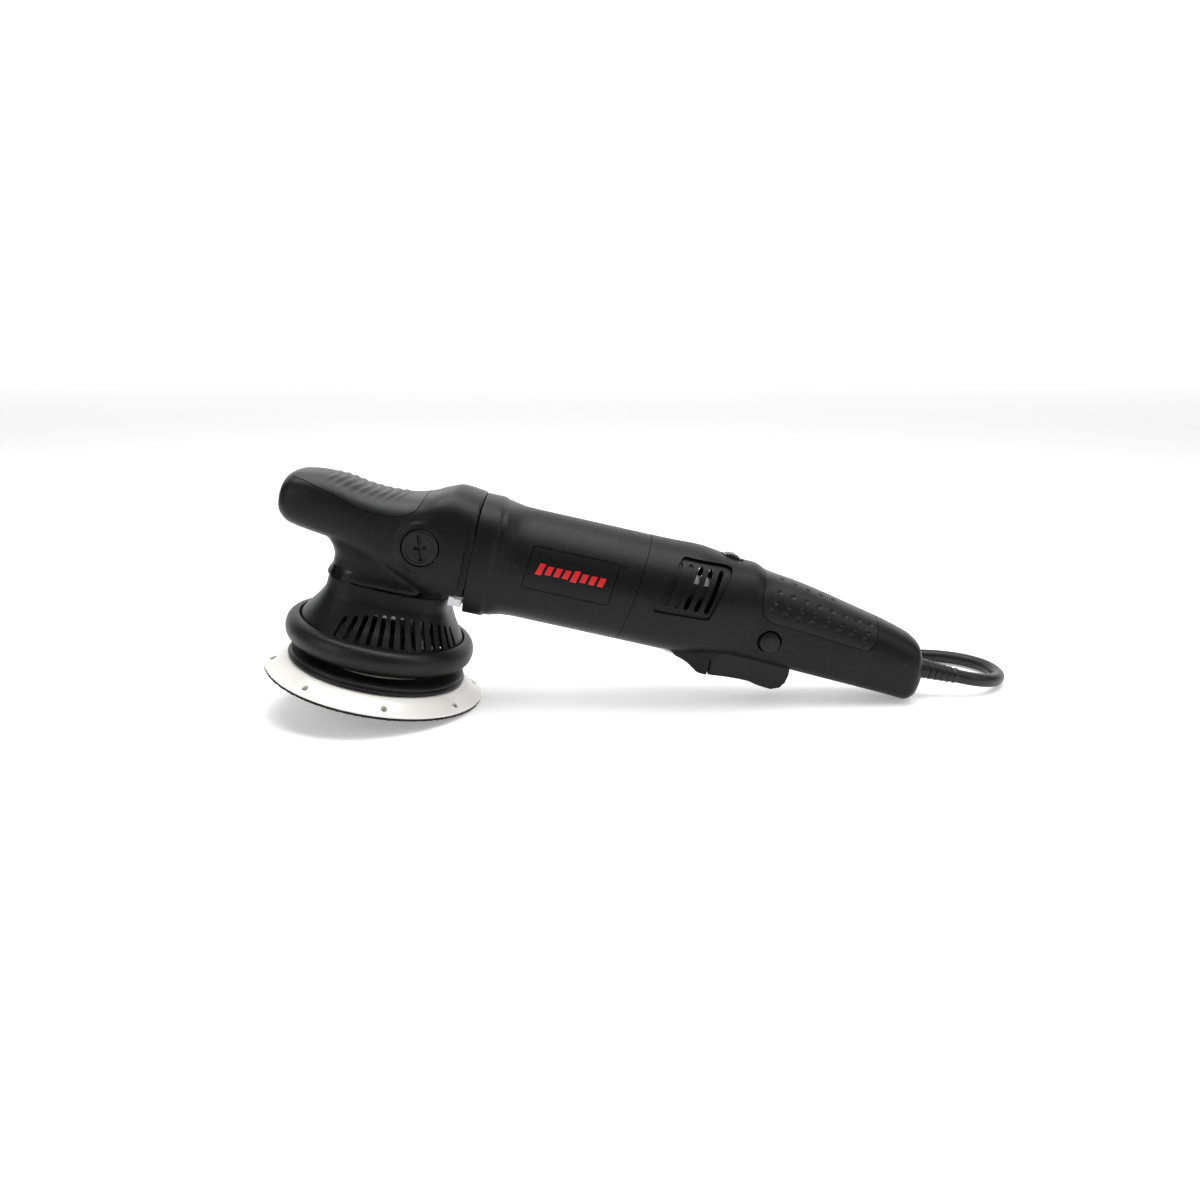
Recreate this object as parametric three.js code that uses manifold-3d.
// Dual action polisher: a mains machine with a bevel gear head, a free-spinning eccentric plate,
// a tubular motor housing and a clamshell rear handle, with its cord wound up behind it.
//
// Everything but the cord is drawn in the tool's own frame, in millimetres: the spindle axis is Z,
// the pad face is z = 0, the motor axis runs along +X towards the tail, and the right side is -Y.
// At the end the tool is pitched until its plate's rear edge and its tail rest on the ground.
import * as THREE from "three";
import { mergeVertices } from "three/addons/utils/BufferGeometryUtils.js";
import Module from "manifold-3d";

const wasm = await Module();
wasm.setup();

// ---- driving dimensions -------------------------------------------------------------------------
const GAP = 0.3; // between pieces that touch
const SKIN_GAP = 0.5; // under a rubber skin, whose facets lie a little apart from the body's
const WALL = 2.6; // plastic shells
const AXIS_Z = 84.5; // motor axis above the pad face
const MOTOR_R = 31.7; // motor housing, outside
const MOTOR_WALL = 3;
const FLANGE_HALF = MOTOR_R + 2.3; // gear head flange, half across the flats
const SEAM_X = 135.5; // joint between motor housing and handle, on the motor axis
const SEAM_TILT = THREE.MathUtils.degToRad(6.7);
const HANDLE_LENGTH = 174; // from that joint to the tail
const H = (share) => SEAM_X + HANDLE_LENGTH * share; // a place along the handle
const TAIL_HALF = 19; // handle half width near the tail
const HEAD_BACK_X = 44; // rear of the head cover
const PLATE_R = 62.5;
const PLATE_RIM = 1.5;
const CONE_HEIGHT = 7.4; // plate's sloping top, from the rim up to the hub
const HOOK_THICK = 1;
const ORBIT = 15; // diameter of the plate centre's circle
const CRANK_ANGLE = THREE.MathUtils.degToRad(-76); // where the plate centre stands at rest
const COLLAR_R = 50.4;
const SKIRT_R = 47.2; // shroud, at its base
const SKIRT_BASE_Z = 17;
const BUMPER_OUT = 6.9; // bumper, proud of the shroud
const SLOT_COUNT = 13; // air slots on each side of the shroud
const SLOT_PITCH = THREE.MathUtils.degToRad(8);
const SPINDLE_R = 7;
const CRANK_BEARING_R = 14; // outside of the bearing that carries the plate
const GEAR_R = 19.5; // bevel gear's pitch radius
const GEAR_TEETH = 24;
const PINION_TEETH = 6;
const ARMATURE_SHAFT_R = 4;
const ARMATURE_R = 19.4;
const STACK_X = [72, 114]; // laminated stack, along the motor axis
const COMMUTATOR_X = [124, 138];
const COMMUTATOR_R = 11.5;
const FRONT_BEARING_X = [33, 40];
const REAR_BEARING_X = [143, 150];
const BEARING_R = 11;
const TRIGGER_LENGTH = 46.8;
const TRIGGER_X = [H(0.302), H(0.302) + TRIGGER_LENGTH];
const TRIGGER_HALF = 10.6;
const LOCK_AT = [H(0.4626), AXIS_Z - 9]; // lock button's centre, x and z
const LOCK_R = 5.3;
const LOCK_WELL_R = 6.9;
const LOCK_TRAVEL = 4;
const DIAL_AT = [H(0.2914), AXIS_Z + MOTOR_R - 8.8];
const DIAL_R = 9;
const DIAL_HALF = 3.6;
const CORD_R = 4;
const RELIEF_Z = AXIS_Z - 10.3; // cord exit above the pad face's plane
const RELIEF_LENGTH = 24;
const COIL_MID_R = 48;
const COIL_HALF_WIDTH = 12.4;
const COIL_HEIGHT = 24.4;
const COIL_FROM_EXIT = [-116.1, 122.5]; // coil's centre on the ground, from the cord's exit
const GROUND_Z = CORD_R + GAP; // middle of a cord that lies on the ground
// The free cord's route, each point as x and y from the exit and what share of the exit's height is
// left: straight on from the strain relief, round behind the tail and back beside the tool.
const CORD_ROUTE = [
  [0, 0, 1],
  [5.5, 0.1, 0.846],
  [11.7, 1.3, 0.667],
  [18.7, 4.4, 0.462],
  [25.4, 9.9, 0.269],
  [30.4, 17.3, 0.128],
  [33.2, 25.9, 0.038],
  [33.5, 35.1, 0],
  [31, 44, 0],
  [26, 52, 0],
  [19.1, 58.3, 0],
  [10.8, 62.6, 0],
  [1.5, 65, 0],
  [-10.1, 66, 0],
  [-24.1, 66.3, 0],
  [-40.1, 66.3, 0],
  [-56.1, 66.3, 0],
  [-70.6, 66.3, 0],
  [-84.8, 66.3, 0],
];

// ---- values worked out from them ----------------------------------------------------------------
const CRANK = ORBIT / 2;
const PLATE_AT = [CRANK * Math.cos(CRANK_ANGLE), CRANK * Math.sin(CRANK_ANGLE)];
const PLATE_Z = HOOK_THICK + GAP; // plate's underside
const HUB_Z = PLATE_Z + PLATE_RIM + CONE_HEIGHT - 1.5; // plate's flat top
const COVER_Z = AXIS_Z - 26; // lower edge of the head cover
const SKIRT_TOP_Z = COVER_Z - GAP - 0.5;
const FLANGE_X = HEAD_BACK_X + GAP; // front of the motor housing
const TAIL_X = SEAM_X + HANDLE_LENGTH;
const MOTOR_BORE = MOTOR_R - MOTOR_WALL;
const PINION_R = (GEAR_R * PINION_TEETH) / GEAR_TEETH;
const GEARBOX_BORE = GEAR_R + 1.4;
const CRANK_HEAD_R = CRANK + CRANK_BEARING_R + GAP + 3.2;
const CRANK_Z = [HUB_Z + 9, HUB_Z + 26];
const NECK_R = SPINDLE_R + GAP + 13.5; // gear housing's lower neck
const REACH = 400; // longer than any piece, for cutters

// ---- solids -------------------------------------------------------------------------------------
// A closed geometry as a manifold solid; a profile may run either way round, so one that comes out
// inside out is turned.
function solid(geometry) {
  const bare = geometry.clone();
  bare.deleteAttribute("normal");
  bare.deleteAttribute("uv");
  const merged = mergeVertices(bare, 1e-4);
  const at = merged.getAttribute("position");
  const corners = [];
  let volume = 0;
  const [a, b, c] = [new THREE.Vector3(), new THREE.Vector3(), new THREE.Vector3()];
  for (let i = 0; i < merged.index.count; i += 3) {
    const tri = [0, 1, 2].map((k) => merged.index.getX(i + k));
    if (new Set(tri).size < 3) continue;
    corners.push(tri);
    [a, b, c].forEach((v, k) => v.fromBufferAttribute(at, tri[k]));
    volume += a.dot(b.cross(c));
  }
  const triVerts = Uint32Array.from(corners.flatMap((t) => (volume < 0 ? t.toReversed() : t)));
  const vertProperties = Float32Array.from(at.array);
  return new wasm.Manifold(new wasm.Mesh({ numProp: 3, vertProperties, triVerts }));
}

const joined = (...pieces) => pieces.reduce((whole, piece) => whole.add(piece));
const cut = (piece, ...cutters) => cutters.reduce((left, cutter) => left.subtract(cutter), piece);

// A piece's mirror image across the y = 0 plane.
const mirrored = (geometry) => geometry.clone().scale(1, -1, 1);

function block(x, y, z) {
  const box = new THREE.BoxGeometry(x[1] - x[0], y[1] - y[0], z[1] - z[0]);
  return box.translate((x[0] + x[1]) / 2, (y[0] + y[1]) / 2, (z[0] + z[1]) / 2);
}

// A round bar between two points.
function rod(from, to, radius, sides = 24) {
  const [a, b] = [new THREE.Vector3(...from), new THREE.Vector3(...to)];
  const along = b.clone().sub(a);
  const turn = new THREE.Quaternion().setFromUnitVectors(
    new THREE.Vector3(0, 1, 0),
    along.clone().normalize(),
  );
  const bar = new THREE.CylinderGeometry(radius, radius, along.length(), sides).applyQuaternion(turn);
  const middle = a.add(b).multiplyScalar(0.5);
  return bar.translate(middle.x, middle.y, middle.z);
}

// A [radius, height] profile spun about the Z axis; a profile that stays off the axis closes on itself.
function spun(profile, segments = 40) {
  const points = profile.map(([r, h]) => new THREE.Vector2(r, h));
  if (profile[0][0] > 0) points.push(points[0].clone());
  return new THREE.LatheGeometry(points, segments).rotateX(Math.PI / 2);
}

// The same about the motor axis, heights being places along X.
const spunOnMotor = (profile, segments = 40) =>
  spun(profile, segments).rotateY(Math.PI / 2).translate(0, 0, AXIS_Z);

// A flat ring or disc about Z, then the same about the motor axis.
const washer = (inner, outer, low, high, segments) =>
  spun([[inner, low], [outer, low], [outer, high], [inner, high]], segments);
const motorRing = (inner, outer, x, segments) =>
  spunOnMotor([[inner, x[0]], [outer, x[0]], [outer, x[1]], [inner, x[1]]], segments);

// A flat shape given thickness up Z.
const extruded = (shape, depth, curveSegments) =>
  new THREE.ExtrudeGeometry(shape, { depth, bevelEnabled: false, curveSegments });

// A side-view outline, in x and z, given thickness across Y.
function slab(outline, y) {
  const shape = new THREE.Shape(outline.map(([x, z]) => new THREE.Vector2(x, z)));
  return extruded(shape, y[1] - y[0], 1).rotateX(Math.PI / 2).translate(0, y[1], 0);
}

// A sector of a ring about the motor axis; angles are from +Y towards +Z.
function motorSector(inner, outer, from, to, x) {
  const shape = new THREE.Shape();
  shape.absarc(0, 0, outer, from, to, false);
  shape.absarc(0, 0, inner, to, from, true);
  const flat = extruded(shape, x[1] - x[0], 5);
  return flat.rotateX(Math.PI / 2).rotateZ(Math.PI / 2).translate(x[0], 0, AXIS_Z);
}

// Stations along an axis give a body's cross-section: [place, top, bottom, half width, squareness,
// chamfer]. Squareness 2 is an ellipse and higher is boxier; a chamfer under 2 takes the corners off.
// This takes a wall's thickness off them all round, and moves the two end stations in by their own.
function insetBy(stations, wall, ends = [0, 0]) {
  const last = stations.length - 1;
  return stations.map(([x, top, bottom, half, ...rest], i) => {
    const place = i === 0 ? x + ends[0] : i === last ? x - ends[1] : x;
    return [place, top - wall, bottom + wall, half - wall, ...rest];
  });
}

// A closed body through the stations, made by reshaping a cylinder. It runs along X, with its top
// and bottom in Z and its half width in Y.
function lofted(stations, sides = 32) {
  const rows = stations.length - 1;
  const skin = new THREE.CylinderGeometry(1, 1, 1, sides, rows);
  const at = skin.getAttribute("position");
  for (let i = 0; i < at.count; i++) {
    const [across, along, up] = [at.getX(i), at.getY(i), at.getZ(i)];
    const [x, top, bottom, half, square, chamfer] = stations[Math.round((along + 0.5) * rows)];
    const [c, s] = [Math.abs(across), Math.abs(up)];
    const size = c ** square + s ** square + ((c + s) / chamfer) ** square;
    const scale = c + s > 1e-6 ? size ** (-1 / square) : 0;
    at.setXYZ(i, x, half * scale * across, (top + bottom) / 2 + ((top - bottom) / 2) * scale * up);
  }
  return skin;
}

// ---- finishes -----------------------------------------------------------------------------------
const finish = (color, roughness, metalness = 0) =>
  new THREE.MeshStandardMaterial({ color, roughness, metalness, flatShading: true });
const BLACK_PLASTIC = finish(0x1b1b1d, 0.55);
const DARK_PLASTIC = finish(0x101012, 0.5);
const SOFT_RUBBER = finish(0x151516, 0.8);
const CORD_RUBBER = finish(0x121213, 0.7);
const DIE_CAST = finish(0xb4b6b8, 0.4, 0.9);
const STEEL = finish(0x9fa2a6, 0.3, 1);
const DARK_STEEL = finish(0x3c3d40, 0.45, 0.9);
const COPPER = finish(0xb0673a, 0.4, 0.9);
const BRASS = finish(0xb8963f, 0.35, 0.9);
const CARBON = finish(0x2a2a2c, 0.8);
const WHITE_GLOSS = finish(0xe9e7e0, 0.25);
const HOOK_PILE = finish(0x17171a, 0.95);
const RED_MARK = finish(0x8f1418, 0.5);

const tool = new THREE.Group();
const ground = new THREE.Group();

// Puts one solid in a group as a named mesh.
function place(group, name, shape, material) {
  const mesh = shape.getMesh();
  const geometry = new THREE.BufferGeometry();
  const corners = new THREE.BufferAttribute(new Float32Array(mesh.vertProperties), 3);
  geometry.setAttribute("position", corners);
  geometry.setIndex(new THREE.BufferAttribute(new Uint32Array(mesh.triVerts), 1));
  geometry.computeVertexNormals();
  const piece = new THREE.Mesh(geometry, material);
  piece.name = name;
  group.add(piece);
  return piece;
}
const add = (name, shape, material) => place(tool, name, shape, material);

// Moves a piece drawn about the spindle axis over to the plate's own axis.
const onPlateAxis = (geometry) => geometry.translate(PLATE_AT[0], PLATE_AT[1], 0);

// ---- plate and its spindle ----------------------------------------------------------------------
const HUB_BORE = 10; // clear of the plate's screw head, in the hook face
const BOSS_R = 16;
const SCREW_HEAD_R = 6.6;
const SCREW_R = 3.4;
const PLATE_VENTS = 8;

function backingPlate() {
  const top = onPlateAxis(
    spun([
      [0, PLATE_Z],
      [PLATE_R - 0.7, PLATE_Z],
      [PLATE_R, PLATE_Z + PLATE_RIM / 2],
      [PLATE_R - 0.3, PLATE_Z + PLATE_RIM],
      [COLLAR_R + 0.4, HUB_Z - 0.2],
      [COLLAR_R - 1, HUB_Z],
      [0, HUB_Z],
    ], 44),
  );
  const vents = Array.from({ length: PLATE_VENTS }, (_, i) => {
    const angle = THREE.MathUtils.degToRad(-74.5) + (i * 2 * Math.PI) / PLATE_VENTS;
    const [x, y] = [Math.cos(angle) * (PLATE_R - 5), Math.sin(angle) * (PLATE_R - 5)];
    return solid(onPlateAxis(rod([x, y, -5], [x, y, HUB_Z + 5], 1.7, 8)));
  });
  const counterbore = solid(onPlateAxis(rod([0, 0, 0], [0, 0, PLATE_Z + 4.6], SCREW_HEAD_R + GAP)));
  const bore = solid(onPlateAxis(rod([0, 0, 0], [0, 0, HUB_Z + 5], SCREW_R + GAP)));
  add("backing_plate", cut(solid(top), counterbore, bore, ...vents), WHITE_GLOSS);
}

function hookFace() {
  add("hook_face", solid(onPlateAxis(washer(HUB_BORE, PLATE_R - 0.8, 0, HOOK_THICK, 44))), HOOK_PILE);
}

function plateCollar() {
  const [low, high] = [HUB_Z + GAP, HUB_Z + 4.9];
  const ring = spun([
    [COLLAR_R - 14, low],
    [COLLAR_R - 0.8, low],
    [COLLAR_R, low + 1],
    [COLLAR_R - 1, high - 0.6],
    [COLLAR_R - 2.4, high],
    [COLLAR_R - 14, high],
  ], 36);
  add("plate_collar", solid(onPlateAxis(ring)), SOFT_RUBBER);
}

function plateSpindle() {
  const [low, boss] = [HUB_Z + GAP, HUB_Z + 4];
  const top = CRANK_Z[1] - 4.6;
  const stem = spun([
    [0, low],
    [BOSS_R, low],
    [BOSS_R, boss],
    [SPINDLE_R + 2.5, boss + 1.5],
    [SPINDLE_R + 2.5, CRANK_Z[0] + 1.4],
    [SPINDLE_R, CRANK_Z[0] + 1.4],
    [SPINDLE_R, top],
    [0, top],
  ], 24);
  const thread = rod([0, 0, low - 5], [0, 0, low + 18], SCREW_R + GAP, 16);
  add("plate_spindle", cut(solid(onPlateAxis(stem)), solid(onPlateAxis(thread))), STEEL);

  const head = rod([0, 0, PLATE_Z + 1], [0, 0, PLATE_Z + 4.3], SCREW_HEAD_R, 24);
  const shank = rod([0, 0, PLATE_Z + 3], [0, 0, low + 16], SCREW_R, 16);
  const socket = rod([0, 0, 0], [0, 0, PLATE_Z + 3], 2.9, 6);
  const bolt = cut(joined(solid(head), solid(shank)), solid(socket));
  add("plate_bolt", bolt.translate([...PLATE_AT, 0]), DARK_STEEL);
}

// ---- crank, counterweight and bevel gear --------------------------------------------------------
const SPINDLE_TOP_Z = AXIS_Z + 15;
const LOWER_BEARING_Z = [SKIRT_TOP_Z - 15, SKIRT_TOP_Z - 5];

function orbitCrank() {
  const head = spun([
    [0, CRANK_Z[0]],
    [CRANK_HEAD_R, CRANK_Z[0]],
    [CRANK_HEAD_R, CRANK_Z[1] - 2],
    [CRANK_HEAD_R - 8, CRANK_Z[1]],
    [SPINDLE_R + 3, CRANK_Z[1] + 1],
    [SPINDLE_R + 3, LOWER_BEARING_Z[0] - GAP],
    [SPINDLE_R, LOWER_BEARING_Z[0] - GAP],
    [SPINDLE_R, SPINDLE_TOP_Z],
    [0, SPINDLE_TOP_Z],
  ], 24);
  const bore = onPlateAxis(rod([0, 0, 0], [0, 0, CRANK_Z[1] - 4], CRANK_BEARING_R + GAP, 24));
  add("orbit_crank", cut(solid(head), solid(bore)), DARK_STEEL);

  const ring = onPlateAxis(
    washer(SPINDLE_R + GAP, CRANK_BEARING_R, CRANK_Z[0] + 1.7, CRANK_Z[1] - 4.3, 24),
  );
  add("crank_bearing", solid(ring), STEEL);
}

// A weight on the side away from the plate's axis.
function counterweight() {
  const spread = THREE.MathUtils.degToRad(78);
  const away = CRANK_ANGLE + Math.PI;
  const shape = new THREE.Shape();
  shape.absarc(0, 0, SKIRT_R - 8, away - spread, away + spread, false);
  shape.absarc(0, 0, CRANK_HEAD_R + GAP, away + spread, away - spread, true);
  const weight = extruded(shape, 11, 12).translate(0, 0, CRANK_Z[0] + 1);
  add("counterweight", solid(weight), DARK_STEEL);
}

const TOOTH_PITCH = (2 * Math.PI * GEAR_R) / GEAR_TEETH;
const ADDENDUM = TOOTH_PITCH * 0.22;
const FACE_SHARE = 0.62; // inner end of a tooth, as a share of its distance from the axes' crossing

// One straight bevel tooth pointing up Z, with the crossing of the two axes at the origin: its outer
// face stands at a distance and its inner face is the same face drawn nearer the crossing.
function bevelTooth(distance, root, tip) {
  const tooth = new THREE.BoxGeometry(1, 1, 1);
  const at = tooth.getAttribute("position");
  for (let i = 0; i < at.count; i++) {
    const scale = at.getX(i) > 0 ? 1 : FACE_SHARE;
    const upper = at.getZ(i) > 0;
    const half = TOOTH_PITCH * (upper ? 0.12 : 0.24) * Math.sign(at.getY(i));
    at.setXYZ(i, distance * scale, half * scale, (upper ? tip : root) * scale);
  }
  return tooth;
}

// The bevel gear on the spindle, drawn with the crossing of the axes at the origin. A gap between two
// teeth faces +X at rest.
function bevelGear() {
  const root = -PINION_R - ADDENDUM * 1.15;
  const blank = spun([
    [SPINDLE_R + GAP, root - 8.5],
    [GEAR_R * 0.6, root - 8.5],
    [GEAR_R, root],
    [GEAR_R * FACE_SHARE, root * FACE_SHARE],
    [SPINDLE_R + GAP, root * FACE_SHARE - 1.5],
  ], GEAR_TEETH);
  const teeth = Array.from({ length: GEAR_TEETH }, (_, i) => {
    const turn = ((i + 0.5) * 2 * Math.PI) / GEAR_TEETH;
    return solid(bevelTooth(GEAR_R, root - ADDENDUM * 0.4, ADDENDUM - PINION_R).rotateZ(turn));
  });
  add("bevel_gear", joined(solid(blank), ...teeth).translate([0, 0, AXIS_Z]), STEEL);
}

// The pinion on the armature's shaft, in mesh with the gear below it: one tooth points down at rest.
function pinion() {
  const root = PINION_R - ADDENDUM * 1.15;
  const hubR = PINION_R + ADDENDUM * 0.6;
  const blank = spun([
    [0, GEAR_R * FACE_SHARE],
    [root * FACE_SHARE, GEAR_R * FACE_SHARE],
    [root, GEAR_R],
    [hubR, GEAR_R + 1.2],
    [hubR, FRONT_BEARING_X[0] - 3],
    [ARMATURE_SHAFT_R + GAP, FRONT_BEARING_X[0] - 3],
    [ARMATURE_SHAFT_R + GAP, GEAR_R + 2],
    [0, GEAR_R + 2],
  ], 18).rotateY(Math.PI / 2);
  const teeth = Array.from({ length: PINION_TEETH }, (_, i) => {
    const turn = Math.PI + (i * 2 * Math.PI) / PINION_TEETH;
    return solid(bevelTooth(GEAR_R, root * 0.7, PINION_R + ADDENDUM).rotateX(turn));
  });
  add("pinion", joined(solid(blank), ...teeth).translate([0, 0, AXIS_Z]), STEEL);
}

// ---- motor --------------------------------------------------------------------------------------
function armature() {
  const [start, end] = [GEAR_R + 2 + GAP, REAR_BEARING_X[1] + 1];
  add("armature_shaft", solid(spunOnMotor([
    [0, start],
    [ARMATURE_SHAFT_R, start],
    [ARMATURE_SHAFT_R, end],
    [0, end],
  ], 20)), STEEL);

  const hub = ARMATURE_SHAFT_R + GAP;
  const stack = spunOnMotor([
    [hub, STACK_X[0] - 8],
    [ARMATURE_R - 6, STACK_X[0] - 8],
    [ARMATURE_R - 3.5, STACK_X[0] - 5],
    [ARMATURE_R - 3.5, STACK_X[0]],
    [ARMATURE_R, STACK_X[0]],
    [ARMATURE_R, STACK_X[1]],
    [ARMATURE_R - 3.5, STACK_X[1]],
    [ARMATURE_R - 3.5, STACK_X[1] + 4],
    [ARMATURE_R - 7, STACK_X[1] + 8],
    [hub, STACK_X[1] + 8],
  ], 24);
  const slots = Array.from({ length: 8 }, (_, i) => {
    const slot = block([STACK_X[0] - 1, STACK_X[1] + 1], [-1, 1], [ARMATURE_R - 2, ARMATURE_R + 3]);
    return solid(slot.rotateX((i * Math.PI) / 4).translate(0, 0, AXIS_Z));
  });
  add("armature_core", cut(solid(stack), ...slots), DARK_STEEL);

  add("commutator", solid(spunOnMotor([
    [hub, COMMUTATOR_X[0]],
    [COMMUTATOR_R + 1.5, COMMUTATOR_X[0]],
    [COMMUTATOR_R + 1.5, COMMUTATOR_X[0] + 1.5],
    [COMMUTATOR_R, COMMUTATOR_X[0] + 1.5],
    [COMMUTATOR_R, COMMUTATOR_X[1]],
    [hub, COMMUTATOR_X[1]],
  ], 24)), COPPER);

  const fanX = [STACK_X[0] - 24, STACK_X[0] - 13];
  const disc = motorRing(hub, MOTOR_BORE - 2.2, [fanX[0], fanX[0] + 1.6], 24);
  const boss = motorRing(hub, hub + 4, fanX, 16);
  const vanes = Array.from({ length: 10 }, (_, i) => {
    const vane = block([fanX[0] + 1, fanX[1]], [-0.7, 0.7], [hub + 3, MOTOR_BORE - 2.4]);
    return solid(vane.rotateX((i * Math.PI) / 5).translate(0, 0, AXIS_Z));
  });
  add("cooling_fan", joined(solid(disc), solid(boss), ...vanes), DARK_PLASTIC);
}

function stator() {
  const outer = MOTOR_BORE - GAP;
  const bore = ARMATURE_R + 0.8;
  const through = [STACK_X[0] - 1, STACK_X[1] + 1];
  const ring = solid(motorRing(bore, outer, STACK_X, 32));
  const windows = [-1, 1].flatMap((side) =>
    [0.62, 2.52].map((angle) =>
      solid(motorSector(bore - 2, outer - 3, side * angle - 0.26, side * angle + 0.26, through)),
    ),
  );
  add("stator_core", cut(ring, ...windows), DARK_STEEL);

  const coilX = [STACK_X[0] - 7, STACK_X[1] + 7];
  const windowX = [STACK_X[0] - 2.4, STACK_X[1] + 2.4];
  const spans = { field_coil_top: [0.38, 2.76], field_coil_bottom: [-2.76, -0.38] };
  Object.entries(spans).forEach(([name, [from, to]]) => {
    const whole = motorSector(bore + 0.5, outer - 3.4, from, to, coilX);
    const window = motorSector(bore - 2, outer, from + 0.48, to - 0.48, windowX);
    add(name, cut(solid(whole), solid(window)), COPPER);
  });

  add("air_baffle", solid(spunOnMotor([
    [ARMATURE_R, STACK_X[0] - 12],
    [outer, STACK_X[0] - 12],
    [outer, STACK_X[0] - 8],
    [outer - 1.6, STACK_X[0] - 8],
    [outer - 1.6, STACK_X[0] - 10.4],
    [ARMATURE_R, STACK_X[0] - 10.4],
  ], 24)), DARK_PLASTIC);
}

function brushGear() {
  const x = [COMMUTATOR_X[0] + 3.5, COMMUTATOR_X[1] - 3];
  const half = 3.2;
  [["right", -1], ["left", 1]].forEach(([side, way]) => {
    const y = (from, to) => (way > 0 ? [from, to] : [-to, -from]);
    const z = (size) => [AXIS_Z - size, AXIS_Z + size];
    const body = block([x[0] - 1.5, x[1] + 1.5], y(COMMUTATOR_R + 3, MOTOR_BORE - 1.2), z(half + 1.5));
    const hole = block([x[0] - GAP, x[1] + GAP], y(COMMUTATOR_R, MOTOR_BORE + 3), z(half + GAP));
    add(`brush_holder_${side}`, cut(solid(body), solid(hole)), BRASS);
    const brushEnd = COMMUTATOR_R + 10;
    add(`carbon_brush_${side}`, solid(block(x, y(COMMUTATOR_R + 0.4, brushEnd), z(half))), CARBON);
    const spring = [brushEnd + GAP, MOTOR_BORE - 1.4].map((r) => [(x[0] + x[1]) / 2, way * r, AXIS_Z]);
    add(`brush_spring_${side}`, solid(rod(...spring, 2.2, 12)), STEEL);
  });
}

// Carries the armature's rear bearing on four arms from a ring in the motor housing.
function bearings() {
  const ringX = [STACK_X[1] + 7.6, COMMUTATOR_X[0] + 1.4];
  const cup = REAR_BEARING_X;
  const outer = solid(motorRing(MOTOR_BORE - 3.6, MOTOR_BORE - GAP, ringX, 28));
  const seat = solid(motorRing(BEARING_R + GAP, BEARING_R + 2.6, [cup[0] - 1, cup[1] + 1], 24));
  const arms = [1, 3, 5, 7].map((quarter) => {
    const arm = slab([
      [ringX[0] + 0.4, MOTOR_BORE - 3.4],
      [ringX[1], MOTOR_BORE - 0.8],
      [cup[1], BEARING_R + 5.5],
      [cup[1], BEARING_R + 1.2],
      [cup[0], BEARING_R + 1.2],
      [ringX[1] - 0.4, MOTOR_BORE - 7],
    ], [-2.2, 2.2]);
    return solid(arm.rotateX((quarter * Math.PI) / 4).translate(0, 0, AXIS_Z));
  });
  add("rear_bracket", joined(outer, seat, ...arms), BLACK_PLASTIC);

  const inner = ARMATURE_SHAFT_R + GAP;
  add("rear_bearing", solid(motorRing(inner, BEARING_R, REAR_BEARING_X, 20)), STEEL);
  add("front_bearing", solid(motorRing(inner, BEARING_R, FRONT_BEARING_X, 20)), STEEL);
  add("spindle_bearing", solid(washer(SPINDLE_R + GAP, NECK_R - 4.2, ...LOWER_BEARING_Z, 24)), STEEL);
  const bush = washer(SPINDLE_R + GAP, SPINDLE_R + 4, SPINDLE_TOP_Z - 8, SPINDLE_TOP_Z - 1, 20);
  add("upper_bush", solid(bush), BRASS);
}

// ---- gear housing -------------------------------------------------------------------------------
function gearHousing() {
  const wall = 2.2;
  const roofZ = SPINDLE_TOP_Z + 4;
  const floorZ = AXIS_Z - 22;
  const shell = GEARBOX_BORE + wall;
  const back = HEAD_BACK_X - GAP;
  const flange = FLANGE_HALF - COVER_WALL - 0.8;
  const gearCase = spun([
    [0, floorZ - wall],
    [shell, floorZ - wall],
    [shell, roofZ - 9],
    [shell - 8, roofZ],
    [0, roofZ],
  ], 24);
  const facePlate = [back - 5, back].map((x) =>
    [x, AXIS_Z + flange, AXIS_Z - flange, flange - 0.6, 7, 1.6],
  );
  const outside = joined(
    solid(gearCase),
    solid(washer(0, NECK_R, LOWER_BEARING_Z[0] - 2, floorZ, 24)),
    solid(rod([0, 0, AXIS_Z], [back, 0, AXIS_Z], BEARING_R + 5, 20)),
    solid(lofted(facePlate, 24)),
    solid(block([SKIRT_TOP_HALF[0] + 1.4, back - 1], [-19, 19], [AXIS_Z - 29, AXIS_Z - 24])),
  );
  const inside = [
    washer(0, GEARBOX_BORE, floorZ, SPINDLE_TOP_Z - 9, 24),
    rod([0, 0, SPINDLE_TOP_Z - 10], [0, 0, SPINDLE_TOP_Z + 1.5], SPINDLE_R + 4 + GAP, 20),
    rod([0, 0, LOWER_BEARING_Z[0]], [0, 0, LOWER_BEARING_Z[1] + GAP], NECK_R - 4.2 + GAP, 24),
    rod([0, 0, 0], [0, 0, floorZ + 1], SPINDLE_R + 3 + GAP, 20),
    rod([0, 0, AXIS_Z], [FRONT_BEARING_X[0] + 1, 0, AXIS_Z], BEARING_R - 2, 20),
    rod([FRONT_BEARING_X[0] - GAP, 0, AXIS_Z], [back + 1, 0, AXIS_Z], BEARING_R + GAP, 20),
  ];
  add("gear_housing", cut(outside, ...inside.map(solid)), DIE_CAST);
}

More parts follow.
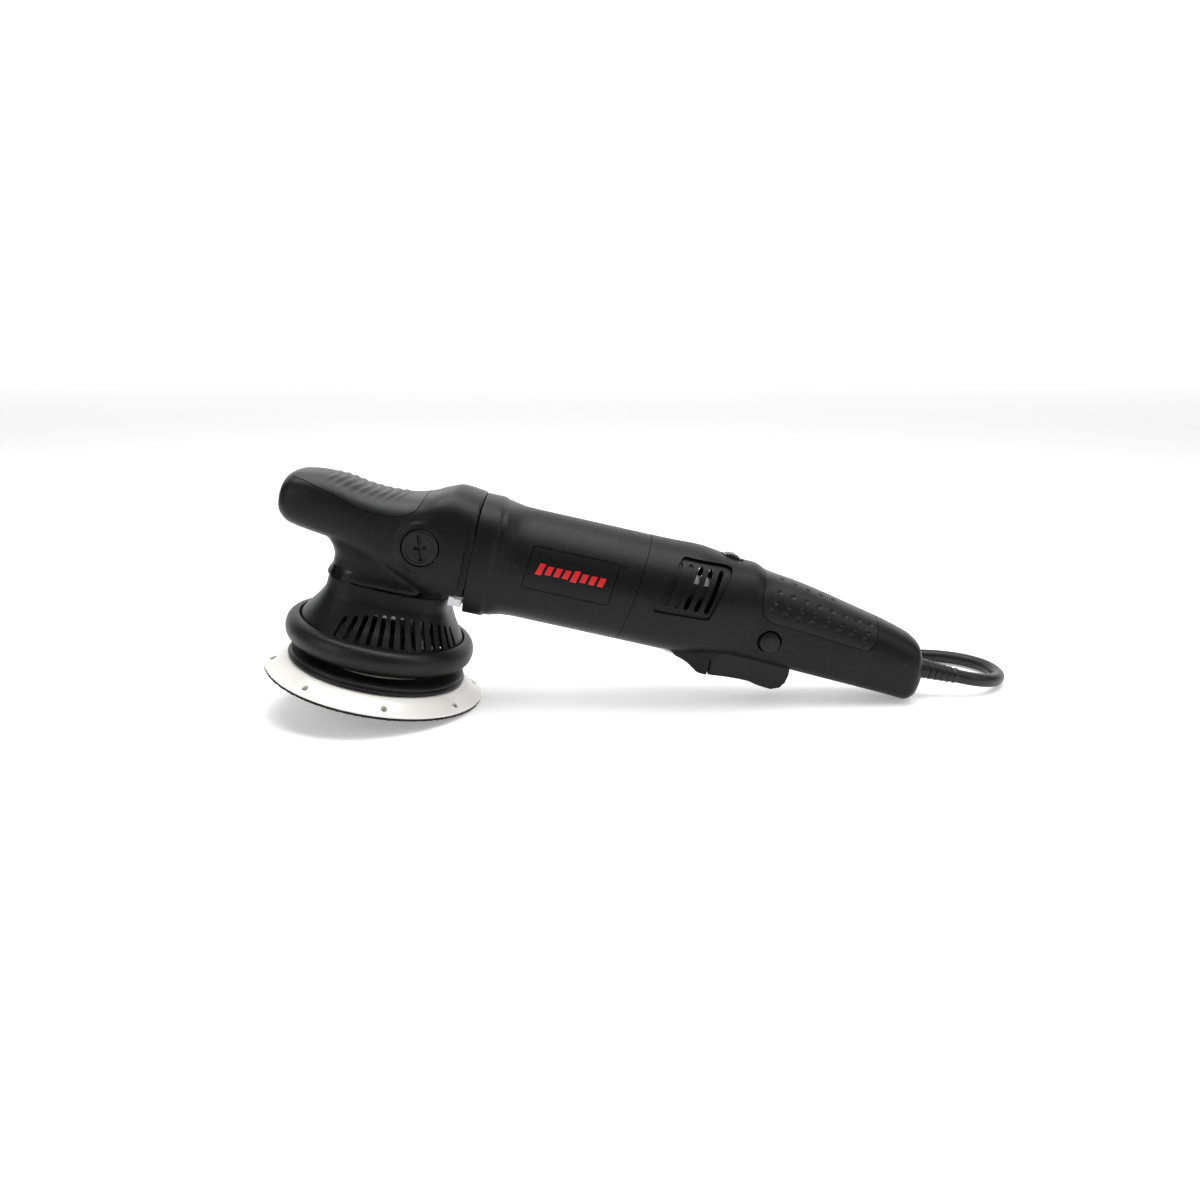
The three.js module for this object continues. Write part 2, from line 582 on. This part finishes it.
// ---- head cover, its rubber insert and plugs ----------------------------------------------------
const HEAD = [
  [-66.8, AXIS_Z + 16, AXIS_Z + 4.5, 14, 2.4, 9],
  [-65, AXIS_Z + 21.4, AXIS_Z - 0.8, 19.6, 2.6, 9],
  [-58.6, AXIS_Z + 25.2, AXIS_Z - 4.8, 23.6, 2.8, 9],
  [-46, AXIS_Z + 26.8, AXIS_Z - 6.7, 25.4, 2.9, 9],
  [-34, AXIS_Z + 26.3, AXIS_Z - 8.2, 26.2, 2.9, 9],
  [-22, AXIS_Z + 24.3, AXIS_Z - 12, 27.4, 2.9, 9],
  [-10, AXIS_Z + 23.7, AXIS_Z - 17, 29, 2.9, 9],
  [2, AXIS_Z + 24.8, AXIS_Z - 22.5, 30.8, 3, 9],
  [13, AXIS_Z + 27.6, AXIS_Z - 25.6, 32, 3.4, 5],
  [23, AXIS_Z + FLANGE_HALF - 1, AXIS_Z - FLANGE_HALF + 4, FLANGE_HALF - 1.4, 4.4, 2.2],
  [30, AXIS_Z + FLANGE_HALF + 2, AXIS_Z - FLANGE_HALF, FLANGE_HALF - 1, 6, 1.7],
  [HEAD_BACK_X, AXIS_Z + FLANGE_HALF + 0.6, AXIS_Z - FLANGE_HALF, FLANGE_HALF - 0.4, 7, 1.62],
];
// The column between nose and shroud: [height, rear, front, half width, squareness, chamfer].
const NECK_BACK_X = 30;
const NECK = [
  [COVER_Z, NECK_BACK_X, -34.9, 29.2, 3.4, 9],
  [COVER_Z + 1.6, NECK_BACK_X, -34.6, 29.2, 3.4, 9],
  [COVER_Z + 5.5, NECK_BACK_X, -32.4, 27.6, 3.4, 9],
  [COVER_Z + 10, NECK_BACK_X, -32.4, 27.2, 3.4, 9],
  [COVER_Z + 15, NECK_BACK_X, -34.2, 27, 3.4, 9],
  [COVER_Z + 19, NECK_BACK_X, -38, 26, 3.2, 9],
  [COVER_Z + 24, NECK_BACK_X, -46, 22, 3, 9],
];
// A loft drawn along X is stood up, so that its stations run up Z.
const upright = (geometry) => {
  const at = geometry.getAttribute("position");
  for (let i = 0; i < at.count; i++) at.setXYZ(i, at.getZ(i), at.getY(i), at.getX(i));
  return geometry;
};
// Side view of the soft insert over the nose, down to its seam.
const ABOVE = 60; // clear above the body, for a cutter's outline
const PALM_OUTLINE = [
  [-62, AXIS_Z + ABOVE],
  [-61, AXIS_Z + 22.8],
  [-54, AXIS_Z + 22.9],
  [-43, AXIS_Z + 21],
  [-32, AXIS_Z + 18.4],
  [-22, AXIS_Z + 15.6],
  [-12, AXIS_Z + 14.6],
  [-3, AXIS_Z + 15.2],
  [5, AXIS_Z + 17.6],
  [9.5, AXIS_Z + 21],
  [11.5, AXIS_Z + 26],
  [12.4, AXIS_Z + ABOVE],
];
const PALM_DEPTH = 1.6;
const COVER_WALL = PALM_DEPTH + SKIN_GAP + 1.3;
const PLUG_AT = [16.2, AXIS_Z + 2.7];
const PLUG_R = 10.2;

// An insert's outline grown by the gap: its first and last few points also move apart.
const wider = (outline, ends) =>
  outline.map(([x, z], i) => {
    const edge = i < ends ? -GAP : i > outline.length - 2 - ends ? GAP : 0;
    return [x + edge, z - GAP];
  });

function headCover() {
  const outer = joined(solid(lofted(HEAD, 24)), solid(upright(lofted(NECK, 20))));
  const palm = solid(slab(PALM_OUTLINE, [-REACH, REACH]));
  const core = solid(lofted(insetBy(HEAD, PALM_DEPTH), 24));
  const gripSkin = cut(outer.intersect(palm), core);
  const seam = solid(slab(wider(PALM_OUTLINE, 2), [-REACH, REACH]));
  const deeper = solid(lofted(insetBy(HEAD, PALM_DEPTH + SKIN_GAP), 24));
  const recessed = cut(outer, cut(seam, deeper));

  const neckInside = NECK.slice(0, -1).map(([z, back, front, half, ...rest], i) =>
    [i ? z : z - 3, back + 20, front + WALL + 1, half - WALL, ...rest],
  );
  const hollow = [
    solid(lofted(insetBy(HEAD, COVER_WALL, [COVER_WALL + 1, -5]), 20)),
    solid(upright(lofted(neckInside, 20))),
    solid(block([-30, NECK_BACK_X], [-26.6, 26.6], [COVER_Z - 20, COVER_Z + 6])),
    solid(block([NECK_BACK_X - 1, REACH], [-30.2, 30.2], [COVER_Z - 20, COVER_Z + 6])),
  ];
  const below = solid(block([-REACH, REACH], [-REACH, REACH], [-REACH, COVER_Z]));
  const trimmed = cut(recessed, below);
  const slot = block(
    [HEAD_BACK_X - 4, HEAD_BACK_X + 2],
    [FLANGE_HALF - 2.4, FLANGE_HALF + 6],
    [AXIS_Z - 17, AXIS_Z + 21],
  );
  const slots = [slot, mirrored(slot)].map(solid);
  const wells = [-1, 1].map((side) => {
    const [from, to] = [24, 40].map((y) => [PLUG_AT[0], side * y, PLUG_AT[1]]);
    return solid(rod(from, to, PLUG_R + GAP, 24));
  });
  add("head_cover", cut(trimmed, ...hollow, ...slots, ...wells), BLACK_PLASTIC);
  add("palm_grip", gripSkin, SOFT_RUBBER);

  [["right", -1], ["left", 1]].forEach(([side, way]) => {
    const [x, z] = PLUG_AT;
    const faceY = way * 32.2;
    const cap = rod([x, way * (GEARBOX_BORE + 4.5), z], [x, faceY, z], PLUG_R, 24);
    const groove = (angle, length) =>
      solid(block([-length, length], [-1.2, 1.2], [-0.8, 0.8]).rotateY(angle).translate(x, faceY, z));
    add(`side_plug_${side}`, cut(solid(cap), groove(1.45, 8.4), groove(0, 3.6)), DARK_PLASTIC);
  });
}

// ---- shroud -------------------------------------------------------------------------------------
// Upright stations: [share of the height, how much wider than the top, squareness].
const SKIRT = [
  [0, 1, 2],
  [0.3, 1, 2],
  [0.44, 0.78, 2.1],
  [0.56, 0.5, 2.4],
  [0.68, 0.26, 2.8],
  [0.82, 0.05, 3.2],
  [1, 0, 3.2],
];
const SKIRT_TOP_HALF = [34.2, 29.4]; // half length and half width at the top

function skirtStations(inset) {
  const height = SKIRT_TOP_Z - SKIRT_BASE_Z;
  return SKIRT.map(([share, flare, square], i) => {
    const [long, wide] = SKIRT_TOP_HALF.map((top) => top + (SKIRT_R - top) * flare - inset);
    const ends = inset && i === 0 ? -2 : inset && i === SKIRT.length - 1 ? -inset : 0;
    const lean = 0.6 * (1 - flare);
    return [SKIRT_BASE_Z + height * share + ends, long + lean, -long + lean, wide, square, 9];
  });
}

function shroud() {
  const outer = solid(upright(lofted(skirtStations(0), 32)));
  const inner = solid(upright(lofted(skirtStations(2.2), 20)));
  const neckHole = solid(rod([0, 0, SKIRT_TOP_Z - 10], [0, 0, SKIRT_TOP_Z + 10], NECK_R + GAP, 28));
  const height = SKIRT_TOP_Z - SKIRT_BASE_Z;
  const slots = [-1, 1].flatMap((side) =>
    Array.from({ length: SLOT_COUNT }, (_, i) => {
      const from = i - (SLOT_COUNT - 1) / 2;
      const angle = side * (THREE.MathUtils.degToRad(66) - from * SLOT_PITCH);
      const top = SKIRT_BASE_Z + height * (0.73 - 0.0035 * from * from);
      const slot = block([28, 60], [-1.3, 1.3], [SKIRT_BASE_Z + 15, top]);
      return solid(slot.rotateZ(angle));
    }),
  );
  add("skirt", cut(outer, inner, neckHole, ...slots), BLACK_PLASTIC);

  const bore = SKIRT_R + GAP;
  const middle = SKIRT_BASE_Z + 7;
  const half = 7.4;
  const steps = 5;
  const rim = Array.from({ length: steps + 1 }, (_, i) => {
    const angle = -Math.PI / 2 + (i * Math.PI) / steps;
    const out = (BUMPER_OUT - GAP) * Math.cos(angle) ** 0.8;
    return [bore + Math.max(out, 0.8), middle + half * Math.sin(angle)];
  });
  const section = [[bore, middle - half], ...rim, [bore, middle + half]];
  add("bumper_ring", solid(spun(section, 40)), SOFT_RUBBER);
}

// ---- motor housing ------------------------------------------------------------------------------
// Everything behind the slanted joint between motor housing and handle, with a little clearance.
function behindSeam(clearance) {
  const box = block([0, REACH], [-REACH, REACH], [-REACH, REACH]);
  return solid(box.rotateY(SEAM_TILT).translate(SEAM_X + clearance, 0, AXIS_Z));
}

const BADGE_X = [SEAM_X - 61, SEAM_X - 13];
const BADGE_ANGLE = THREE.MathUtils.degToRad(10);
const BADGE_SPREAD = THREE.MathUtils.degToRad(22);

function motorHousing() {
  const round = [MOTOR_R, 2, 9];
  const around = (x, half, ...shape) => [x, AXIS_Z + half, AXIS_Z - half, half, ...shape];
  const body = lofted([
    around(FLANGE_X, FLANGE_HALF, 7, 1.62),
    around(FLANGE_X + 9.5, FLANGE_HALF, 7, 1.62),
    around(FLANGE_X + 12.5, FLANGE_HALF - 0.9, 5, 1.8),
    around(FLANGE_X + 17, MOTOR_R + 0.6, 3, 3),
    around(FLANGE_X + 23, MOTOR_R + 0.1, 2.2, 6),
    [FLANGE_X + 29, AXIS_Z + MOTOR_R, AXIS_Z - MOTOR_R, ...round],
    [SEAM_X + 12, AXIS_Z + MOTOR_R, AXIS_Z - MOTOR_R, ...round],
  ], 36);
  const bore = motorRing(0, MOTOR_BORE, [FLANGE_X + 3, REACH / 2], 28);
  const mouth = motorRing(0, 24, [FLANGE_X - 2, FLANGE_X + 4], 24);
  const pockets = [0, Math.PI].map((turn) => {
    const middle = turn ? BADGE_ANGLE : Math.PI - BADGE_ANGLE;
    const span = [middle - BADGE_SPREAD - 0.01, middle + BADGE_SPREAD + 0.01];
    const along = [BADGE_X[0] - GAP, BADGE_X[1] + GAP];
    return solid(motorSector(MOTOR_R - 1.2, MOTOR_R + 5, ...span, along));
  });
  const shell = cut(solid(body), solid(bore), solid(mouth), behindSeam(0), ...pockets);
  add("motor_housing", shell, BLACK_PLASTIC);

  [["right", Math.PI - BADGE_ANGLE], ["left", BADGE_ANGLE]].forEach(([side, middle]) => {
    const span = [middle - BADGE_SPREAD, middle + BADGE_SPREAD];
    const panel = motorSector(MOTOR_R - 0.9, MOTOR_R - 0.2, ...span, BADGE_X);
    add(`badge_${side}`, solid(panel), RED_MARK);
  });
}

// ---- rear handle --------------------------------------------------------------------------------
const HANDLE = [
  [SEAM_X - 14, AXIS_Z + MOTOR_R, AXIS_Z - MOTOR_R, MOTOR_R, 2, 9],
  [H(0.08), AXIS_Z + MOTOR_R + 0.2, AXIS_Z - MOTOR_R, MOTOR_R + 0.1, 2, 9],
  [H(0.18), AXIS_Z + MOTOR_R + 0.7, AXIS_Z - MOTOR_R + 0.3, MOTOR_R - 0.2, 2.05, 9],
  [H(0.25), AXIS_Z + MOTOR_R - 0.7, AXIS_Z - MOTOR_R + 2.1, MOTOR_R - 1.7, 2.1, 9],
  [H(0.32), AXIS_Z + MOTOR_R - 2.3, AXIS_Z - MOTOR_R + 4.7, MOTOR_R - 4.1, 2.2, 9],
  [H(0.38), AXIS_Z + MOTOR_R - 2.7, AXIS_Z - MOTOR_R + 5.5, MOTOR_R - 6.7, 2.3, 9],
  [H(0.42), AXIS_Z + 26.2, AXIS_Z - 26.2, 23.8, 2.4, 9],
  [H(0.52), AXIS_Z + 24, AXIS_Z - 26.7, 22.6, 2.5, 9],
  [H(0.72), AXIS_Z + 17.4, AXIS_Z - 27.8, 21, 2.6, 9],
  [H(0.92), AXIS_Z + 9.4, AXIS_Z - 29.1, TAIL_HALF, 2.6, 9],
  [H(0.965), AXIS_Z + 5.6, AXIS_Z - 29.7, TAIL_HALF - 1, 2.6, 9],
  [H(0.988), AXIS_Z - 0.6, AXIS_Z - 28, TAIL_HALF - 4, 2.5, 9],
  [TAIL_X, AXIS_Z - 6.4, AXIS_Z - 23.4, TAIL_HALF - 8, 2.4, 9],
];
const GRIP_X = [H(0.4063), H(0.8075)];
const GRIP_OUTLINE = [
  [GRIP_X[0] - 1, AXIS_Z + ABOVE],
  [GRIP_X[0] + 0.4, AXIS_Z + 12],
  [GRIP_X[0] + 2.6, AXIS_Z + 6],
  [GRIP_X[0] + 7, AXIS_Z + 2.6],
  [GRIP_X[1] - 12, AXIS_Z - 1.8],
  [GRIP_X[1] - 4, AXIS_Z - 2.2],
  [GRIP_X[1] - 0.6, AXIS_Z + 2],
  [GRIP_X[1], AXIS_Z + ABOVE],
];
const GRIP_DEPTH = 1.6;
const SCREWS = [
  [H(0.1), AXIS_Z - 24],
  [H(0.373), AXIS_Z + 4.5],
  [H(0.62), AXIS_Z - 18],
  [H(0.86), AXIS_Z + 4],
];
const SCREW_HEAD = 3.4;
const VENT_X = SEAM_X + 19.5;
const VENT_COUNT = 5;

const TRIGGER_TOP_Z = AXIS_Z - 23.4;

// The five slanted air slots of one side; the front two are blind.
function ventCutters(side) {
  return Array.from({ length: VENT_COUNT }, (_, i) => {
    const depth = i < 2 ? MOTOR_R - 3.4 : 20;
    const lean = Math.atan2(5, 24);
    const slot = block([-1.15, 1.15], [depth, MOTOR_R + 8], [-12, 12]).rotateY(lean);
    slot.translate(VENT_X + i * 5.85, 0, AXIS_Z + 12);
    return solid(side > 0 ? slot : mirrored(slot));
  });
}

function handles() {
  const guard = slab([
    [H(0.14), AXIS_Z - 25],
    [H(0.185), AXIS_Z - 32.2],
    [H(0.225), AXIS_Z - 34.4],
    [H(0.25), AXIS_Z - 37.4],
    [H(0.27), AXIS_Z - 40],
    [H(0.29), AXIS_Z - 40],
    [TRIGGER_X[0] - GAP, AXIS_Z - 38.4],
    [TRIGGER_X[0] - GAP, AXIS_Z - 20],
  ], [-13.4, 13.4]);
  const body = joined(solid(lofted(HANDLE, 20)), solid(guard));
  const grip = solid(slab(GRIP_OUTLINE, [-REACH, REACH]));
  const gripCut = solid(slab(wider(GRIP_OUTLINE, 3), [-REACH, REACH]));
  const core = solid(lofted(insetBy(HANDLE, GRIP_DEPTH), 20));
  const deeper = solid(lofted(insetBy(HANDLE, GRIP_DEPTH + SKIN_GAP), 20));
  add("rear_grip", cut(body.intersect(grip), core), SOFT_RUBBER);

  const inside = HANDLE.filter(([x]) => x < TAIL_X - 8);
  const roomInside = insetBy(inside, WALL + GAP, [-3, 0]).map(([x, top, ...rest]) =>
    [x, x > GRIP_X[0] - 8 ? top - GRIP_DEPTH : top, ...rest],
  );
  const triggerRoom = block(
    [TRIGGER_X[0] - GAP, TRIGGER_X[1] + 1.2],
    [-TRIGGER_HALF - GAP, TRIGGER_HALF + GAP],
    [0, AXIS_Z - 19],
  );
  const [lockX, lockZ] = LOCK_AT;
  const dialSide = (y) => [DIAL_AT[0], y, DIAL_AT[1]];
  const dialRoom = rod(dialSide(-DIAL_HALF - 0.7), dialSide(DIAL_HALF + 0.7), DIAL_R + 0.6, 24);
  const cordHole = rod([TAIL_X - 25, 0, RELIEF_Z], [TAIL_X + 10, 0, RELIEF_Z], CORD_R + 1.6 + GAP, 20);
  const openings = [
    cut(gripCut, deeper),
    solid(lofted(roomInside, 16)),
    solid(triggerRoom),
    solid(rod([lockX, -REACH, lockZ], [lockX, -1, lockZ], LOCK_WELL_R, 20)),
    solid(dialRoom),
    solid(cordHole),
    ...ventCutters(1),
    ...ventCutters(-1),
  ];
  const allInFront = solid(block([0, SEAM_X + 40], [-REACH, REACH], [-REACH, REACH]));
  const bothHalves = cut(body, cut(allInFront, behindSeam(GAP)));
  [["right", -1], ["left", 1]].forEach(([side, way]) => {
    const leftSide = block([0, REACH], [GAP / 2, REACH], [-REACH, REACH]);
    const half = bothHalves.intersect(solid(way > 0 ? leftSide : mirrored(leftSide)));
    const bosses = SCREWS.map(([x, z]) =>
      half.intersect(solid(rod([x, way * GAP / 2, z], [x, way * 40, z], 4.4, 12))),
    );
    const holes = SCREWS.flatMap(([x, z]) => way > 0
      ? [rod([x, -1, z], [x, 60, z], 1.9, 8), rod([x, 11, z], [x, 60, z], SCREW_HEAD + GAP, 12)]
      : [rod([x, 1, z], [x, -11, z], 1.9, 8)]);
    const shell = cut(joined(cut(half, ...openings), ...bosses), ...holes.map(solid));
    add(`handle_${side}`, shell, BLACK_PLASTIC);
  });

  SCREWS.forEach(([x, z], i) => {
    const head = rod([x, 11.4, z], [x, 14, z], SCREW_HEAD, 12);
    const shank = rod([x, -10, z], [x, 12, z], 1.6, 8);
    const drive = rod([x, 12.8, z], [x, 15, z], 1.5, 6);
    add(`handle_screw_${i + 1}`, cut(joined(solid(head), solid(shank)), solid(drive)), DARK_STEEL);
  });
}

// ---- controls -----------------------------------------------------------------------------------
function trigger() {
  const [front, back] = TRIGGER_X;
  const length = back - front;
  const outline = [
    [front + 0.3, TRIGGER_TOP_Z],
    [front + 0.6, AXIS_Z - 40],
    [front + length * 0.16, AXIS_Z - 39],
    [front + length * 0.34, AXIS_Z - 37.9],
    [front + length * 0.53, AXIS_Z - 37.8],
    [front + length * 0.73, AXIS_Z - 39.4],
    [front + length * 0.83, AXIS_Z - 39.6],
    [front + length * 0.93, AXIS_Z - 37.6],
    [front + length * 0.98, AXIS_Z - 34],
    [back, AXIS_Z - 29],
    [back - 0.6, TRIGGER_TOP_Z],
  ];
  const body = slab(outline, [-TRIGGER_HALF, TRIGGER_HALF]);
  const inner = TRIGGER_HALF - 2;
  const hollow = block([front + 12, back - 3], [-inner, inner], [AXIS_Z - 34, AXIS_Z]);
  add("trigger", cut(solid(body), solid(hollow)), DARK_PLASTIC);

  const springX = back - 9;
  const spring = rod([springX, 0, AXIS_Z - 33.7], [springX, 0, AXIS_Z - 19.5], 3, 12);
  add("trigger_spring", solid(spring), STEEL);
}

const SWITCH_HALF = 8;

function switchgear() {
  const [lockX] = LOCK_AT;
  const body = block([lockX - 19, lockX + 14], [-SWITCH_HALF, SWITCH_HALF], [AXIS_Z - 19, AXIS_Z - 2.6]);
  add("switch_body", solid(body), DARK_PLASTIC);
  const module = block([DIAL_AT[0] - 20, DIAL_AT[0] + 8], [-12, 12], [AXIS_Z + 3, AXIS_Z + 12]);
  add("speed_module", solid(module), DARK_PLASTIC);
  add("capacitor", solid(rod([H(0.66), 0, AXIS_Z - 4], [H(0.79), 0, AXIS_Z - 6], 6.5, 20)), DARK_PLASTIC);
}

function lockButton() {
  const [x, z] = LOCK_AT;
  const faceY = -24.6;
  const stemY = -SWITCH_HALF - LOCK_TRAVEL - 1;
  const cap = rod([x, faceY, z], [x, faceY + 5.5, z], LOCK_R, 20);
  const stem = rod([x, faceY + 5, z], [x, stemY, z], 2.6, 16);
  add("lock_button", joined(solid(cap), solid(stem)), DARK_PLASTIC);
  const coil = [faceY + 5.5 + LOCK_TRAVEL + GAP, -SWITCH_HALF - GAP];
  const spring = washer(2.9, 4.2, ...coil, 14).rotateX(-Math.PI / 2).translate(x, 0, z);
  add("lock_spring", solid(spring), STEEL);
}

function speedDial() {
  const [x, z] = DIAL_AT;
  const teeth = 20;
  const points = Array.from({ length: teeth * 2 }, (_, i) => {
    const angle = (i * Math.PI) / teeth;
    const radius = i % 2 ? DIAL_R - 0.7 : DIAL_R;
    return [x + radius * Math.cos(angle), z + radius * Math.sin(angle)];
  });
  const wheel = slab(points, [-DIAL_HALF, DIAL_HALF]);
  add("speed_dial", solid(wheel), DARK_PLASTIC);
}

// ---- cord exit ----------------------------------------------------------------------------------
function cordExit() {
  const end = TAIL_X + RELIEF_LENGTH;
  const wall = H(0.92) - 2.4 - GAP;
  const boot = spun([
    [0, wall],
    [CORD_R + 3.4, wall],
    [CORD_R + 3.4, wall + 2.4],
    [CORD_R + 1.6, wall + 2.4],
    [CORD_R + 1.6, TAIL_X + 2],
    [CORD_R + 1.3, TAIL_X + RELIEF_LENGTH * 0.5],
    [CORD_R + 0.7, end - 1],
    [CORD_R, end],
    [0, end],
  ], 20).rotateY(Math.PI / 2).translate(0, 0, RELIEF_Z);
  add("strain_relief", solid(boot), CORD_RUBBER);

  const clampX = wall - 7.4;
  const bridge = block([clampX - 4, clampX + 4], [-11, 11], [RELIEF_Z - 2.5, RELIEF_Z + 2.5]);
  add("cord_clamp", solid(bridge), DARK_PLASTIC);
}

// The cord on the ground, from the exit's place: a tube to the coil, the coil's outer shape, its tie
// and the plug.
function looseCord(exit) {
  const points = CORD_ROUTE.map(([x, y, height]) =>
    new THREE.Vector3(exit.x + x, exit.y + y, GROUND_Z + (exit.z - GROUND_Z) * height),
  );
  const route = new THREE.CatmullRomCurve3(points);
  const section = new THREE.Shape();
  section.absarc(0, 0, CORD_R, 0, 2 * Math.PI, false);
  const path = { steps: 24, extrudePath: route, curveSegments: 4 };
  place(ground, "power_cord", solid(new THREE.ExtrudeGeometry(section, path)), CORD_RUBBER);

  const [x, y] = [exit.x + COIL_FROM_EXIT[0], exit.y + COIL_FROM_EXIT[1]];
  const [inner, outer] = [COIL_MID_R - COIL_HALF_WIDTH, COIL_MID_R + COIL_HALF_WIDTH];
  const coil = washer(inner, outer, 0.1, COIL_HEIGHT, 32).translate(x, y, 0);
  place(ground, "cord_coil", solid(coil), CORD_RUBBER);

  // The tie is a band round the coil's section, open just enough to clear it.
  const tieX = [x - COIL_MID_R - COIL_HALF_WIDTH - 1.6, x - COIL_MID_R + COIL_HALF_WIDTH + 2.4];
  const band = block(tieX, [y - 5, y + 5], [4, COIL_HEIGHT + 1.4]);
  const hole = block([tieX[0] + 1.2, tieX[1] - 1.2], [y - 6, y + 6], [0, COIL_HEIGHT + GAP]);
  place(ground, "cord_tie", cut(solid(band), solid(hole)), SOFT_RUBBER);

  const plug = joined(
    solid(block([x - 13, x + 13], [y - 9, y + 9], [0.3, 17])),
    solid(rod([x + 12, y - 4.6, 8.6], [x + 24, y - 4.6, 8.6], 2.2, 12)),
    solid(rod([x + 12, y + 4.6, 8.6], [x + 24, y + 4.6, 8.6], 2.2, 12)),
  );
  place(ground, "mains_plug", plug, DARK_PLASTIC);
}

// ---- assembly -----------------------------------------------------------------------------------
backingPlate();
hookFace();
plateCollar();
plateSpindle();
orbitCrank();
counterweight();
bevelGear();
pinion();
armature();
stator();
brushGear();
bearings();
gearHousing();
headCover();
shroud();
motorHousing();
handles();
trigger();
switchgear();
lockButton();
speedDial();
cordExit();

// The tool leans back on the rear edge of its hook face until its tail meets the ground.
const pivotX = PLATE_AT[0] + PLATE_R - 0.8;
function restPitch() {
  let lowest = Infinity;
  ["handle_left", "handle_right"].forEach((name) => {
    const at = tool.getObjectByName(name).geometry.getAttribute("position");
    for (let i = 0; i < at.count; i++) {
      const rise = Math.atan2(at.getZ(i), at.getX(i) - pivotX);
      if (at.getX(i) > TAIL_X - 30) lowest = Math.min(lowest, rise);
    }
  });
  return lowest;
}
tool.rotation.y = restPitch();
tool.updateMatrixWorld(true);
const box = new THREE.Box3().setFromObject(tool, true);
tool.position.set(-(box.min.x + box.max.x) / 2, -(box.min.y + box.max.y) / 2, -box.min.z);
tool.updateMatrixWorld(true);
looseCord(tool.localToWorld(new THREE.Vector3(TAIL_X + RELIEF_LENGTH + GAP, 0, RELIEF_Z)));

const polisher = new THREE.Group();
polisher.add(tool, ground);
export default polisher;
